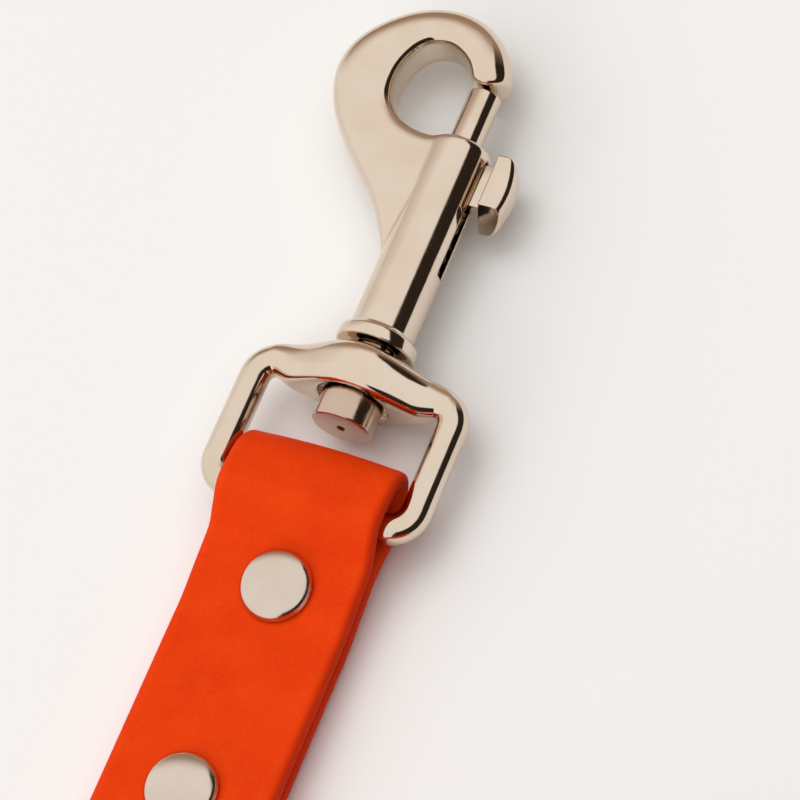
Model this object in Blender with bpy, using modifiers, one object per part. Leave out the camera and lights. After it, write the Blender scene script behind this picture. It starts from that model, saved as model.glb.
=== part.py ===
"""Training leash: a coated flat strap riveted round the bail of a swivel bolt snap.

Run with: blender --background --python part.py

The leash lies on a table. +Z is up, +Y runs along the snap from the strap to the hook, and
X runs across the strap. The snap's plane, the bail and the table are parallel. The strap's
far length is stored beside the snap as a loose coil standing on its edge, and its hand loop
lies inside that coil. The frame's origin is under the middle of the snap and its riveted
strap end, on the table; the design frame inside it starts under the bail's lower bar.
"""

import math

import bmesh
import bpy
from mathutils import Vector

MM = 0.001

# Gaps between pieces
GAP = 0.3 * MM  # between pieces that touch or turn in each other
SEAT_GAP = 0.3 * MM  # under a rivet cap

# Strap
STRAP_WIDTH = 25.0 * MM
STRAP_THICKNESS = 2.4 * MM
STRAP_EDGE_RADIUS = 0.8 * MM
STRAP_LIFT = 1.2 * MM  # the riveted end rides this high on its back caps
LEASH_TAIL = 15.9 * MM  # folded layer behind the second rivet
FOLD_SLACK = 4.3 * MM  # room between the bar and the inside of the fold's tip

# Rivets
RIVET_TO_BAR = 12.2 * MM
RIVET_PITCH = 31.5 * MM
RIVET_OFFSETS = (0.6 * MM, -0.5 * MM)  # the punched holes wander across the strap
RIVET_TILT = math.radians(8.0)  # the strap rises under the first rivet towards the bar
CAP_DIAMETER = 10.5 * MM
CAP_HEIGHT = 2.0 * MM
POST_DIAMETER = 2.8 * MM
SOCKET_DEPTH = 1.0 * MM  # how far a post reaches into its cap

# Bail
BAIL_PLAY = 1.3 * MM  # bail's inner width beyond the strap's
BAIL_ROD = 4.6 * MM
BAIL_HEIGHT = 20.2 * MM  # lower bar's axis to upper bar's axis
BAIL_CORNER_RADIUS = 3.4 * MM
BOSS_DEPTH = 14.0 * MM
BOSS_LENGTH = 31.0 * MM
BOSS_DEEP_LENGTH = 27.0 * MM  # along which the boss is deeper than the bar
BOSS_FLAT_LENGTH = 19.0 * MM  # flat underside, between its upturned ends
BOSS_TOP = 24.5 * MM  # from the lower bar's axis
BOSS_UNDERSIDE = 16.7 * MM
BOSS_RECESS_DEPTH = 1.5 * MM

# Swivel pin
PIN_HEAD_DIAMETER = 9.2 * MM
PIN_HEAD_LENGTH = 5.4 * MM
PIN_STEM_DIAMETER = 5.0 * MM
PIN_SOCKET = 4.0 * MM  # how far the stem goes into the snap
PIN_CENTRE_HOLE = 1.3 * MM
PIN_HOLE_DEPTH = 2.0 * MM

# Snap body
BARREL_DIAMETER = 9.8 * MM
BARREL_LENGTH = 35.1 * MM  # collar's foot to barrel's mouth
COLLAR_DIAMETER = 12.0 * MM
COLLAR_HEIGHT = 2.2 * MM
HOOK_THICKNESS = 7.6 * MM
HOOK_EDGE_RADIUS = 3.2 * MM
HOOK_FOOT_THINNING = 0.35  # the hook's thickness where it leaves the barrel, as a share
HOOK_FULL_BELOW = 8.0 * MM  # below the mouth, where the hook reaches its full thickness
HOOK_THIN_BELOW = 22.0 * MM  # below the mouth, where it is thinnest
HOOK_REACH = 23.7 * MM  # snap axis to the hook's far side
HOOK_RISE = 21.9 * MM  # barrel's mouth to the top of the hook
TIP_RISE = 9.8 * MM  # barrel's mouth to the hook's tip
SLOT_LENGTH = 19.6 * MM
SLOT_TO_MOUTH = 1.6 * MM
MOUTH_ROUNDING = 0.8 * MM

# Bolt, knob and spring
BOLT_DIAMETER = 5.1 * MM
BOLT_TAIL = 11.5 * MM  # bolt inside the barrel
NECK_LENGTH = 7.2 * MM
NECK_THICKNESS = 1.8 * MM
KNOB_LENGTH = 11.2 * MM
KNOB_WIDTH = 5.2 * MM
KNOB_THICKNESS = 4.0 * MM
KNOB_SLANT = 2.4 * MM  # how much shorter the knob is at its upper side
KNOB_CLEARANCE = 1.5 * MM  # knob to barrel
KNOB_OFFSET = 0.8 * MM  # the knob's middle sits this far below its neck's
SPRING_WIRE = 0.5 * MM
SPRING_TURNS = 9
CHAMBER_FLOOR = 1.2 * MM  # metal between the pin's socket and the spring

# Coil and hand loop
COIL_RADIUS = 84.0 * MM  # outer turn's centre line
COIL_PITCH = 9.2 * MM
COIL_DISTANCE = 150.0 * MM  # bail's lower bar to the coil's centre, along the strap
TWIST_START = 66.0 * MM  # bail's lower bar to where the strap starts to turn on edge
TWIST_END = 146.0 * MM
LOOP_RADIUS = 54.0 * MM  # centre line of the riveted part of the hand loop
LOOP_LAP = 44.0 * MM  # riveted lap of the hand loop
LOOP_RIVET_PITCH = 22.0 * MM

# Worked out from the values above
LAYER_GAP = GAP
BAR_RADIUS = BAIL_ROD / 2
SNAP_PLANE = BOSS_DEPTH / 2  # the boss rests on the table
LOWER_LAYER = STRAP_LIFT + STRAP_THICKNESS / 2
UPPER_LAYER = LOWER_LAYER + STRAP_THICKNESS + LAYER_GAP
STRAP_TOP = UPPER_LAYER + STRAP_THICKNESS / 2
FOLD_WRAP = BAR_RADIUS + GAP + STRAP_THICKNESS / 2  # bar's axis to strap's centre line
HOOK_END = RIVET_TO_BAR + RIVET_PITCH + LEASH_TAIL  # bail's bar to the end of the fold
BAIL_OUTER_WIDTH = STRAP_WIDTH + BAIL_PLAY + 2 * BAIL_ROD
LEG_OFFSET = BAIL_OUTER_WIDTH / 2 - BAR_RADIUS
RIVET_RISE = math.tan(RIVET_TILT) * CAP_DIAMETER / 2
HEAD_END = BOSS_UNDERSIDE + BOSS_RECESS_DEPTH - GAP - PIN_HEAD_LENGTH
COLLAR_FOOT = BOSS_TOP + 2 * GAP
BARREL_MOUTH = COLLAR_FOOT + BARREL_LENGTH
HOOK_TOP = BARREL_MOUTH + HOOK_RISE
TIP_END = BARREL_MOUTH + TIP_RISE
BARREL_RADIUS = BARREL_DIAMETER / 2
BORE_RADIUS = BOLT_DIAMETER / 2 + GAP
SLOT_TOP = BARREL_MOUTH - SLOT_TO_MOUTH
SLOT_WIDTH = NECK_THICKNESS + 2 * GAP
NECK_TOP = SLOT_TOP - GAP
NECK_BOTTOM = NECK_TOP - NECK_LENGTH
BOLT_FOOT = BARREL_MOUTH - BOLT_TAIL
PIN_TOP = COLLAR_FOOT + PIN_SOCKET
CHAMBER_BOTTOM = PIN_TOP + GAP + CHAMBER_FLOOR
LOOP_ANGLE = math.pi + 2 * math.pi * (COIL_RADIUS - LOOP_RADIUS) / COIL_PITCH
COIL_INNER_RADIUS = LOOP_RADIUS + STRAP_THICKNESS / 2 + CAP_HEIGHT + SEAT_GAP + 2 * GAP
FRAME_X = (HOOK_REACH - BAIL_OUTER_WIDTH / 2) / 2
FRAME_Y = (HOOK_END - HOOK_TOP) / 2

NAME = "training_leash"


def start_scene():
    """Empty the scene and make one collection for the parts and one for the cutters."""
    for item in list(bpy.data.objects):
        bpy.data.objects.remove(item, do_unlink=True)
    for name in (NAME, NAME + "_cutters"):
        old = bpy.data.collections.get(name)
        if old:
            bpy.data.collections.remove(old)
        bpy.context.scene.collection.children.link(bpy.data.collections.new(name))


def collection(cutter=False):
    return bpy.data.collections[NAME + ("_cutters" if cutter else "")]


def add_empty(name, location, parent=None):
    empty = bpy.data.objects.new(name, None)
    empty.location = location
    empty.parent = parent
    collection().objects.link(empty)
    return empty


def place(item, parent, location=(0, 0, 0), rotation=(0, 0, 0), cutter=False):
    """Put an object in its collection, under its parent."""
    item.parent = parent
    item.location = location
    item.rotation_euler = rotation
    collection(cutter).objects.link(item)
    if cutter:
        item.hide_render = True
        item.display_type = "WIRE"
    return item


def make_material(name, colour, roughness, metallic):
    material = bpy.data.materials.new(name)
    material.use_nodes = True
    shader = material.node_tree.nodes["Principled BSDF"]
    shader.inputs["Base Color"].default_value = (*colour, 1)
    shader.inputs["Roughness"].default_value = roughness
    shader.inputs["Metallic"].default_value = metallic
    material.diffuse_color = (*colour, 1)
    return material


def smooth_shade(mesh, angle=35):
    mesh.shade_smooth()
    mesh.set_sharp_from_angle(angle=math.radians(angle))


def give(item, material):
    item.data.materials.clear()
    item.data.materials.append(material)
    return item


# Curves and solids

def smooth_line(points, steps):
    """Points on a Catmull-Rom curve through the given ones, steps to each stretch."""
    points = [Vector(point) for point in points]
    padded = [2 * points[0] - points[1]] + points + [2 * points[-1] - points[-2]]
    line = []
    for a, b, c, d in zip(padded, padded[1:], padded[2:], padded[3:]):
        for step in range(steps):
            t = step / steps
            line.append(0.5 * (2 * b + (c - a) * t + (2 * a - 5 * b + 4 * c - d) * t**2
                               + (3 * b - a - 3 * c + d) * t**3))
    return line + [points[-1]]


def strip_outline(line, thickness):
    """The closed outline of a strip of the given thickness along a plane line."""
    left = []
    right = []
    for index, point in enumerate(line):
        before = line[max(index - 1, 0)]
        after = line[min(index + 1, len(line) - 1)]
        along = (after - before).normalized()
        side = Vector((-along.y, along.x)) * thickness / 2
        left.append(point + side)
        right.append(point - side)
    return left + right[::-1]


def curve_mesh(curve, name):
    """The welded mesh of a curve, which is then removed."""
    guide = bpy.data.objects.new(name + "_curve", curve)
    bpy.context.scene.collection.objects.link(guide)
    bpy.context.view_layer.update()
    evaluated = guide.evaluated_get(bpy.context.evaluated_depsgraph_get())
    mesh = bpy.data.meshes.new_from_object(evaluated)
    bpy.data.objects.remove(guide, do_unlink=True)
    bpy.data.curves.remove(curve)
    work = bmesh.new()
    work.from_mesh(mesh)
    bmesh.ops.remove_doubles(work, verts=work.verts, dist=0.001 * MM)
    bmesh.ops.recalc_face_normals(work, faces=work.faces)
    work.to_mesh(mesh)
    work.free()
    mesh.name = name
    return mesh


def extruded(name, outline, height):
    """A flat outline given its full height, centred on the plane it is drawn in."""
    curve = bpy.data.curves.new(name, "CURVE")
    curve.dimensions = "2D"
    curve.fill_mode = "BOTH"
    curve.extrude = height / 2
    spline = curve.splines.new("POLY")
    spline.points.add(len(outline) - 1)
    for point, place_ in zip(spline.points, outline):
        point.co = (place_[0], place_[1], 0, 1)
    spline.use_cyclic_u = True
    return bpy.data.objects.new(name, curve_mesh(curve, name))


def rod(name, points, radius, cyclic=False, detail=3):
    """A round rod along a POLY spline."""
    curve = bpy.data.curves.new(name, "CURVE")
    curve.dimensions = "3D"
    curve.bevel_depth = radius
    curve.bevel_resolution = detail
    curve.use_fill_caps = not cyclic
    spline = curve.splines.new("POLY")
    spline.points.add(len(points) - 1)
    for point, place_ in zip(spline.points, points):
        point.co = (*place_, 1)
    spline.use_cyclic_u = cyclic
    return bpy.data.objects.new(name, curve_mesh(curve, name))


def turned(name, profile, steps=32):
    """A solid turned about local Z from a profile of (radius, height), top to bottom."""
    mesh = bpy.data.meshes.new(name)
    work = bmesh.new()
    verts = [work.verts.new((radius, 0, height)) for radius, height in profile]
    for one, two in zip(verts, verts[1:]):
        work.edges.new((one, two))
    work.to_mesh(mesh)
    work.free()
    item = bpy.data.objects.new(name, mesh)
    screw = item.modifiers.new("turn", "SCREW")
    screw.steps = steps
    screw.render_steps = steps
    screw.use_merge_vertices = True
    screw.merge_threshold = 0.001 * MM
    screw.use_smooth_shade = True
    return item


def box(name, size):
    mesh = bpy.data.meshes.new(name)
    work = bmesh.new()
    bmesh.ops.create_cube(work, size=1)
    bmesh.ops.scale(work, vec=size, verts=work.verts)
    work.to_mesh(mesh)
    work.free()
    return bpy.data.objects.new(name, mesh)


def cylinder(name, radius, length, sides=32):
    mesh = bpy.data.meshes.new(name)
    work = bmesh.new()
    bmesh.ops.create_cone(work, cap_ends=True, segments=sides, radius1=radius,
                          radius2=radius, depth=length)
    work.to_mesh(mesh)
    work.free()
    return bpy.data.objects.new(name, mesh)


def combine(item, other, operation):
    step = item.modifiers.new(operation.lower(), "BOOLEAN")
    step.operation = operation
    step.solver = "EXACT"
    step.object = other


def round_edges(item, width, segments=2, angle=40):
    bevel = item.modifiers.new("round edges", "BEVEL")
    bevel.width = width
    bevel.segments = segments
    bevel.limit_method = "ANGLE"
    bevel.angle_limit = math.radians(angle)
    bevel.use_clamp_overlap = True


def arc(centre, radius, start, end, steps):
    """Points of an arc in a plane, angles in degrees."""
    points = []
    for step in range(steps + 1):
        angle = math.radians(start + (end - start) * step / steps)
        points.append(Vector((centre[0] + radius * math.cos(angle),
                              centre[1] + radius * math.sin(angle))))
    return points


# A turned piece or cylinder stands on local Z; this lays it along +Y
ALONG_Y = (-math.pi / 2, 0, 0)
# A flat outline drawn in local XY is stood up in the world's YZ plane
UPRIGHT = (math.pi / 2, 0, math.pi / 2)


def strap_end(frame, rubber, posts):
    """The strap's hook end, folded back round the bail's lower bar and riveted."""
    tip = BAR_RADIUS + FOLD_SLACK + STRAP_THICKNESS / 2
    top = SNAP_PLANE + FOLD_WRAP
    under = SNAP_PLANE - FOLD_WRAP
    flat = -RIVET_TO_BAR - CAP_DIAMETER / 2
    front = -RIVET_TO_BAR + CAP_DIAMETER / 2
    ramp = UPPER_LAYER + 2 * RIVET_RISE
    lean = (math.asin(FOLD_WRAP / math.hypot(front, SNAP_PLANE - ramp))
            + math.atan2(SNAP_PLANE - ramp, -front) + math.radians(1.5))
    landing = Vector((-FOLD_WRAP * math.sin(lean), SNAP_PLANE + FOLD_WRAP * math.cos(lean)))
    crest = Vector((-FOLD_WRAP * math.sin(lean / 2), SNAP_PLANE + FOLD_WRAP * math.cos(lean / 2)))
    line = [Vector((-HOOK_END, LOWER_LAYER))]
    line += smooth_line([(flat - 4 * MM, LOWER_LAYER), (flat, LOWER_LAYER),
                         (-RIVET_TO_BAR, LOWER_LAYER + RIVET_RISE),
                         (front, LOWER_LAYER + 2 * RIVET_RISE),
                         (0.5 * front, (LOWER_LAYER + 2 * RIVET_RISE + under) / 2 + 0.1 * MM),
                         (0, under), (0.66 * tip, SNAP_PLANE - 0.66 * FOLD_WRAP),
                         (tip, SNAP_PLANE), (0.70 * tip, SNAP_PLANE + 0.74 * FOLD_WRAP),
                         (0.05 * tip, top), crest, landing,
                         ((front + landing.x) / 2, (ramp + landing.y) / 2 - 0.1 * MM),
                         (front, ramp),
                         (-RIVET_TO_BAR, UPPER_LAYER + RIVET_RISE),
                         (flat, UPPER_LAYER), (flat - 4 * MM, UPPER_LAYER)], 5)
    line += [Vector((-HOOK_END, UPPER_LAYER))]
    strap = extruded("strap_hook_end", strip_outline(line, STRAP_THICKNESS), STRAP_WIDTH)
    place(strap, frame, rotation=UPRIGHT)
    round_edges(strap, STRAP_EDGE_RADIUS)
    give(strap, rubber)
    for index, (location, rotation) in enumerate(posts):
        hole = cylinder(f"strap_hole_{index + 1}", POST_DIAMETER / 2 + GAP, 20 * MM, 20)
        combine(strap, place(hole, frame, location, rotation, cutter=True), "DIFFERENCE")
    smooth_shade(strap.data)


def rivet(name, parent, location, rotation, grip, nickel, hollow=0):
    """A double-cap rivet through a grip of strap: a domed cap, and a post with a back cap.

    Local Z points out of the cap, and local zero is the middle of the grip. Where the strap
    is bent, the back cap stands clear of its hollow side.
    """
    radius = CAP_DIAMETER / 2
    top = grip / 2 + SEAT_GAP
    dome = [(radius * math.sin(math.radians(angle)),
             top + 0.3 * MM + (CAP_HEIGHT - 0.3 * MM) * math.cos(math.radians(angle)))
            for angle in range(0, 91, 15)]
    hole = POST_DIAMETER / 2 + GAP
    cap = turned(f"{name}_cap", [*dome, (radius, top), (hole, top),
                                 (hole, top + SOCKET_DEPTH + GAP),
                                 (0, top + SOCKET_DEPTH + GAP)])
    place(give(cap, nickel), parent, location, rotation)
    back = -grip / 2 - SEAT_GAP - hollow
    foot = back - STRAP_LIFT + SEAT_GAP
    post = turned(f"{name}_post", [(0, top + SOCKET_DEPTH), (POST_DIAMETER / 2, top + SOCKET_DEPTH),
                                   (POST_DIAMETER / 2, back), (radius - 0.4 * MM, back),
                                   (radius, back - 0.3 * MM),
                                   (0.75 * radius, foot + 0.15 * MM), (0.4 * radius, foot),
                                   (0, foot)])
    place(give(post, nickel), parent, location, rotation)


def boss_form():
    """The swelling of the bail's upper bar: rounded above, flat underneath."""
    count = 24
    sides = 32
    corner = BAIL_CORNER_RADIUS + BAR_RADIUS
    work = bmesh.new()
    rings = []
    for step in range(count + 1):
        x = (2 * step / count - 1) * 0.45 * BOSS_LENGTH
        swell = (1 + math.cos(2 * math.pi * x / BOSS_LENGTH)) / 2
        past = max(abs(x) - LEG_OFFSET + BAIL_CORNER_RADIUS, 0)
        bar_top = BAIL_HEIGHT - BAIL_CORNER_RADIUS + math.sqrt(corner**2 - past**2)
        top = bar_top + swell * (BOSS_TOP - BAIL_HEIGHT - BAR_RADIUS)
        upturn = max((2 * abs(x) - BOSS_FLAT_LENGTH) / (0.9 * BOSS_LENGTH - BOSS_FLAT_LENGTH), 0)
        upturn = upturn * upturn * (3 - 2 * upturn)
        under = BOSS_UNDERSIDE + upturn * (BAIL_HEIGHT - BAR_RADIUS - BOSS_UNDERSIDE)
        middle = (under + top) / 2
        height = (top - under) / 2
        deepen = (1 + math.cos(2 * math.pi * min(abs(x) / BOSS_DEEP_LENGTH, 0.5))) / 2
        depth = BAR_RADIUS + deepen * (BOSS_DEPTH / 2 - BAR_RADIUS)
        ring = []
        for side in range(sides):
            angle = 2 * math.pi * side / sides
            c = math.cos(angle)
            s = math.sin(angle)
            power = 2 / (2 + (1.5 if s > 0 else 4) * swell)
            ring.append(work.verts.new((x, middle + height * math.copysign(abs(s)**power, s),
                                        depth * math.copysign(abs(c)**power, c))))
        rings.append(ring)
    for one, two in zip(rings, rings[1:]):
        for side in range(sides):
            after = (side + 1) % sides
            work.faces.new((one[side], one[after], two[after], two[side]))
    work.faces.new(rings[0])
    work.faces.new(rings[-1])
    bmesh.ops.recalc_face_normals(work, faces=work.faces)
    mesh = bpy.data.meshes.new("boss_form")
    work.to_mesh(mesh)
    work.free()
    return bpy.data.objects.new("boss_form", mesh)


def bail(pivot, nickel):
    """The bail: a round-rod frame whose upper bar swells into the swivel's boss."""
    corner = BAIL_CORNER_RADIUS
    across = LEG_OFFSET - corner
    along = BAIL_HEIGHT - corner
    outline = (arc((across, corner), corner, -90, 0, 5) + arc((across, along), corner, 0, 90, 5)
               + arc((-across, along), corner, 90, 180, 5)
               + arc((-across, corner), corner, 180, 270, 5))
    frame = rod("bail", [(x, y, 0) for x, y in outline], BAR_RADIUS, cyclic=True)
    place(give(frame, nickel), pivot)

    boss = place(boss_form(), pivot, cutter=True)
    combine(frame, boss, "UNION")
    hole = cylinder("boss_hole", PIN_STEM_DIAMETER / 2 + GAP, 20 * MM)
    combine(frame, place(hole, pivot, (0, BOSS_TOP, 0), ALONG_Y, cutter=True), "DIFFERENCE")
    recess = cylinder("boss_recess", PIN_HEAD_DIAMETER / 2 + 2 * GAP, 2 * BOSS_RECESS_DEPTH)
    combine(frame, place(recess, pivot, (0, BOSS_UNDERSIDE, 0), ALONG_Y, cutter=True),
            "DIFFERENCE")


def swivel_pin(swivel, nickel):
    """The pin that the snap turns on, with its spun head under the boss."""
    head = PIN_HEAD_DIAMETER / 2
    stem = PIN_STEM_DIAMETER / 2
    hole = PIN_CENTRE_HOLE / 2
    shoulder = HEAD_END + PIN_HEAD_LENGTH
    pin = turned("swivel_pin", [(0, PIN_TOP), (stem, PIN_TOP), (stem, shoulder), (head, shoulder),
                                (head, HEAD_END + 0.5 * MM), (head - 0.5 * MM, HEAD_END),
                                (hole, HEAD_END), (hole, HEAD_END + PIN_HOLE_DEPTH),
                                (0, HEAD_END + PIN_HOLE_DEPTH)])
    place(give(pin, nickel), swivel, rotation=ALONG_Y)


def hook_outline():
    """The hook in plan: up the back, round the crown to the tip, and back round the eye."""
    reach = HOOK_REACH
    rise = HOOK_RISE
    mouth = BARREL_MOUTH
    back = smooth_line([(-0.12 * reach, mouth - 1.25 * rise), (-0.22 * reach, mouth - 0.92 * rise),
                        (-0.30 * reach, mouth - 0.74 * rise), (-0.43 * reach, mouth - 0.54 * rise),
                        (-0.63 * reach, mouth - 0.32 * rise), (-0.83 * reach, mouth - 0.07 * rise),
                        (-0.95 * reach, mouth + 0.15 * rise), (-reach, mouth + 0.38 * rise),
                        (-0.95 * reach, mouth + 0.61 * rise), (-0.80 * reach, mouth + 0.81 * rise),
                        (-0.60 * reach, mouth + 0.95 * rise), (-0.37 * reach, mouth + rise),
                        (-0.15 * reach, mouth + 0.945 * rise), (0.02 * reach, mouth + 0.80 * rise),
                        (0.12 * reach, mouth + 0.61 * rise), (0.14 * reach, TIP_END)], 4)
    eye = smooth_line([(-0.09 * reach, TIP_END), (-0.12 * reach, mouth + 0.52 * rise),
                       (-0.19 * reach, mouth + 0.62 * rise), (-0.33 * reach, mouth + 0.70 * rise),
                       (-0.47 * reach, mouth + 0.66 * rise), (-0.548 * reach, mouth + 0.52 * rise),
                       (-0.57 * reach, mouth + 0.36 * rise), (-0.535 * reach, mouth + 0.20 * rise),
                       (-0.44 * reach, mouth + 0.075 * rise), (-0.30 * reach, mouth + 0.01 * rise),
                       (-0.12 * reach, mouth - 0.01 * rise)], 4)
    spine = [Vector((0, mouth - 0.03 * rise)), Vector((0, mouth - 1.25 * rise))]
    return back + eye + spine


def thin_foot(hook):
    """Thin the rounded hook towards its foot, so that it melts into the barrel."""
    bpy.context.view_layer.update()
    evaluated = hook.evaluated_get(bpy.context.evaluated_depsgraph_get())
    mesh = bpy.data.meshes.new_from_object(evaluated)
    hook.modifiers.clear()
    work = bmesh.new()
    work.from_mesh(mesh)
    full = BARREL_MOUTH - HOOK_FULL_BELOW
    thin = BARREL_MOUTH - HOOK_THIN_BELOW
    for y in (full, thin):
        bmesh.ops.bisect_plane(work, geom=[*work.verts, *work.edges, *work.faces],
                               plane_co=(0, y, 0), plane_no=(0, 1, 0))
    for vert in work.verts:
        share = min(max((vert.co.y - thin) / (full - thin), 0), 1)
        vert.co.z *= HOOK_FOOT_THINNING + (1 - HOOK_FOOT_THINNING) * share
    work.to_mesh(mesh)
    work.free()
    hook.data = mesh


def snap_body(swivel, nickel):
    """The snap's body: a turned barrel and collar with the hook grown out of its side."""
    foot = COLLAR_FOOT
    radius = BARREL_RADIUS
    collar = COLLAR_DIAMETER / 2
    edge = 0.4 * MM
    mouth = [Vector((radius - MOUTH_ROUNDING, BARREL_MOUTH))]
    mouth += arc((radius - MOUTH_ROUNDING, BARREL_MOUTH - MOUTH_ROUNDING), MOUTH_ROUNDING,
                 60, 0, 2)
    flare = arc((radius + collar / 2, foot + COLLAR_HEIGHT + collar / 2), collar / 2,
                180, 225, 4)
    flare = [point - Vector((0, collar / 2 * (1 - math.sin(math.radians(45)))))
             for point in flare]
    top_of_collar = foot + COLLAR_HEIGHT
    flare = [point for point in flare if point.x < collar - edge and point.y > top_of_collar]
    profile = [(0, BARREL_MOUTH), *mouth, *flare, (collar - edge, top_of_collar),
               (collar, top_of_collar - edge), (collar, foot + edge), (collar - edge, foot),
               (0, foot)]
    barrel = turned("snap_body", profile)
    place(give(barrel, nickel), swivel, rotation=ALONG_Y)

    hook = extruded("hook_form", hook_outline(), HOOK_THICKNESS)
    round_edges(hook, HOOK_EDGE_RADIUS, 4)
    thin_foot(place(hook, swivel, cutter=True))
    combine(barrel, hook, "UNION")

    bore = cylinder("bolt_bore", BORE_RADIUS, BARREL_MOUTH - CHAMBER_BOTTOM + 4 * MM)
    centre = (BARREL_MOUTH + CHAMBER_BOTTOM) / 2 + 2 * MM
    combine(barrel, place(bore, swivel, (0, centre, 0), ALONG_Y, cutter=True), "DIFFERENCE")
    socket = cylinder("pin_socket", PIN_STEM_DIAMETER / 2 + GAP, 2 * (PIN_SOCKET + GAP))
    combine(barrel, place(socket, swivel, (0, foot, 0), ALONG_Y, cutter=True), "DIFFERENCE")
    slot = box("knob_slot", (2 * radius, SLOT_LENGTH, SLOT_WIDTH))
    combine(barrel, place(slot, swivel, (radius, SLOT_TOP - SLOT_LENGTH / 2, 0), cutter=True),
            "DIFFERENCE")


def bolt_and_knob(swivel, nickel):
    """The sliding bolt, and the thumb knob whose neck stands in a pocket of the bolt."""
    radius = BOLT_DIAMETER / 2
    nose = 0.4 * MM
    tip = TIP_END - GAP
    bolt = turned("snap_bolt", [(0, tip), (radius - nose, tip), (radius, tip - nose),
                                (radius, BOLT_FOOT + nose), (radius - nose, BOLT_FOOT),
                                (0, BOLT_FOOT)])
    place(give(bolt, nickel), swivel, rotation=ALONG_Y)
    middle = (NECK_TOP + NECK_BOTTOM) / 2
    root = radius / 3
    pocket = box("neck_pocket", (2 * radius, NECK_LENGTH + 2 * GAP, NECK_THICKNESS + 2 * GAP))
    pocket_centre = (root - GAP + radius, middle, 0)
    combine(bolt, place(pocket, swivel, pocket_centre, cutter=True), "DIFFERENCE")

    inner = BARREL_RADIUS + KNOB_CLEARANCE
    knob = box("thumb_knob", (KNOB_THICKNESS, KNOB_LENGTH, KNOB_WIDTH))
    place(give(knob, nickel), swivel, (inner + KNOB_THICKNESS / 2, middle - KNOB_OFFSET, 0))
    round_edges(knob, 0.36 * KNOB_THICKNESS, 3)
    slant = math.atan2(KNOB_SLANT, KNOB_WIDTH)
    trim = 6 * MM
    trimmer = box("knob_trim", (4 * KNOB_THICKNESS, trim, 4 * KNOB_WIDTH))
    end = middle - KNOB_OFFSET - KNOB_LENGTH / 2 + KNOB_SLANT / 2
    place(trimmer, swivel, (inner, end - math.cos(slant) * trim / 2, math.sin(slant) * trim / 2),
          (-slant, 0, 0), cutter=True)
    combine(knob, trimmer, "DIFFERENCE")
    reach = inner + 0.3 * KNOB_THICKNESS - root
    neck = box("knob_neck", (reach, NECK_LENGTH, NECK_THICKNESS))
    place(neck, swivel, (root + reach / 2, middle, 0), cutter=True)
    combine(knob, neck, "UNION")


def bolt_spring(swivel, steel):
    """The spring that pushes the bolt against the hook's tip."""
    radius = BOLT_DIAMETER / 2 - SPRING_WIRE / 2
    bottom = CHAMBER_BOTTOM + GAP + SPRING_WIRE / 2
    top = BOLT_FOOT - GAP - SPRING_WIRE / 2
    count = SPRING_TURNS * 10
    points = []
    for step in range(count + 1):
        angle = 2 * math.pi * SPRING_TURNS * step / count
        points.append((radius * math.cos(angle), bottom + (top - bottom) * step / count,
                       radius * math.sin(angle)))
    spring = rod("bolt_spring", points, SPRING_WIRE / 2, detail=1)
    place(give(spring, steel), swivel)


def strap_run(frame, rubber):
    """The single strap from the fold to the coil; it turns on edge on its way."""
    start = HOOK_END + GAP
    end = COIL_DISTANCE - GAP
    count = 30
    half = STRAP_THICKNESS / 2
    curve = bpy.data.curves.new("strap_run", "CURVE")
    curve.dimensions = "3D"
    curve.twist_mode = "Z_UP"
    section = bpy.data.curves.new("strap_section", "CURVE")
    section.dimensions = "2D"
    outline = section.splines.new("POLY")
    outline.points.add(3)
    corners = ((1, 1), (-1, 1), (-1, -1), (1, -1))
    for point, (x, y) in zip(outline.points, corners):
        point.co = (x * STRAP_WIDTH / 2, y * half, 0, 1)
    outline.use_cyclic_u = True
    guide = place(bpy.data.objects.new("strap_section", section), frame, cutter=True)
    curve.bevel_mode = "OBJECT"
    curve.bevel_object = guide
    curve.use_fill_caps = True
    spline = curve.splines.new("POLY")
    spline.points.add(count)
    for step, point in enumerate(spline.points):
        distance = start + (end - start) * step / count
        turn = min(max((distance - TWIST_START) / (TWIST_END - TWIST_START), 0), 1)
        tilt = math.pi / 2 * turn * turn * (3 - 2 * turn)
        resting = STRAP_WIDTH / 2 * math.sin(tilt) + half * math.cos(tilt)
        settle = min(turn * 3, 1)
        height = resting + (UPPER_LAYER - half) * (1 - settle * settle * (3 - 2 * settle))
        point.co = (0, -distance, height, 1)
        point.tilt = tilt
    run = bpy.data.objects.new("strap_run", curve_mesh(curve, "strap_run"))
    place(give(run, rubber), frame)


def strap_coil(frame, rubber):
    """The stored strap: the outer shape of a loose coil whose turns stand on edge."""
    steps = 48
    centre = Vector((COIL_RADIUS, -COIL_DISTANCE))
    outer = []
    for step in range(steps + 1):
        angle = math.pi + 2 * math.pi * step / steps
        radius = COIL_RADIUS + STRAP_THICKNESS / 2 - COIL_PITCH * step / steps
        outer.append(centre + radius * Vector((math.cos(angle), math.sin(angle))))
    inner = arc(centre, COIL_INNER_RADIUS, 180, -180, steps)
    coil = extruded("strap_coil", outer + inner, STRAP_WIDTH)
    place(give(coil, rubber), frame, (0, 0, STRAP_WIDTH / 2))


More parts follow.
